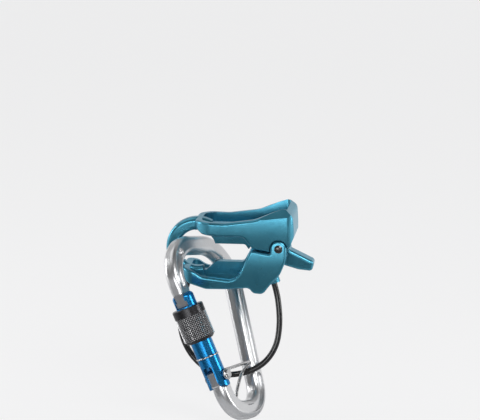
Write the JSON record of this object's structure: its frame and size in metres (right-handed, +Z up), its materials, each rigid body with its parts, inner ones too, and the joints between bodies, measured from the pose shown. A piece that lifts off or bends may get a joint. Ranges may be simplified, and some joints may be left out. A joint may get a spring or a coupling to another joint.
{
  "type": "assisted braking belay device with carabiner",
  "caption": "Assisted braking rope belay device: hinged two-piece aluminium body with twin rope slots and a keeper cable, hung on a screw-gate carabiner.",
  "frame": {"origin": "middle of the carabiner's small basket, where a harness loop sits", "axes": "+Z up along the hanging assembly, towards the belay device; +X towards the hinge pin and the release horn; +Y from the face seen in the picture to the back, across the device's plates"},
  "size_m": [0.0871, 0.0747, 0.1244],
  "materials": {
    "device_teal": "satin anodised aluminium",
    "polished_alloy": "satin polished",
    "gate_blue": "gloss anodised aluminium",
    "sleeve_grey": "satin anodised aluminium",
    "wire_steel": "bright",
    "dark_steel": "dark",
    "cable_black": "gloss"
  },
  "bodies": {
    "carabiner": {"carabiner_frame": "polished_alloy", "gate_rivet": "wire_steel"},
    "gate": {"gate_barrel": "gate_blue", "sleeve_stop_wire": "wire_steel", "gate_spring": "wire_steel"},
    "sleeve": {"locking_sleeve": "sleeve_grey"},
    "plunger": {"gate_plunger": "wire_steel"},
    "keeper": {"keeper_bar": "wire_steel"},
    "device": {"main_body": "device_teal", "pivot_pin": "dark_steel", "keeper_cable": "cable_black", "left_cable_ferrule": "dark_steel", "right_cable_ferrule": "dark_steel"},
    "lever": {"release_lever": "device_teal"}
  },
  "joints": [
    {"name": "gate_hinge", "type": "hinge", "parent": "carabiner", "child": "gate", "pos_m": [-0.01368, -0.01471, 0.01743], "axis": [-0.8572, 0.3125, -0.4093], "range_deg": [0, 24], "stiffness_Nm_per_rad": 0.5, "springref_deg": -14.32},
    {"name": "sleeve_screw", "type": "slide", "parent": "gate", "child": "sleeve", "axis": [0.3956, -0.1093, -0.9119], "range_m": [-0.0085, 0.0092]},
    {"name": "plunger_slide", "type": "slide", "parent": "gate", "child": "plunger", "axis": [-0.3956, 0.1093, 0.9119], "range_m": [0, 0.00102], "deforming": ["gate_spring"]},
    {"name": "keeper_hinge", "type": "hinge", "parent": "carabiner", "child": "keeper", "pos_m": [-0.01368, -0.01471, 0.01743], "axis": [0.8572, -0.3125, 0.4093], "range_deg": [0, 12], "stiffness_Nm_per_rad": 0.05, "springref_deg": -8.59},
    {"name": "device_tilt", "type": "hinge", "parent": "carabiner", "child": "device", "pos_m": [-0.02908, 0.02447, 0.08568], "axis": [0, -1, 0], "range_deg": [-12, 3], "deforming": ["keeper_cable"]},
    {"name": "lever_pivot", "type": "hinge", "parent": "device", "child": "lever", "pos_m": [0.0201, 0.02447, 0.08948], "axis": [0, 1, 0], "range_deg": [0, 25]}
  ],
  "couplings": [
    {"joint": "plunger_slide", "follows": "gate_hinge", "m_per_rad": 0.0024}
  ]
}
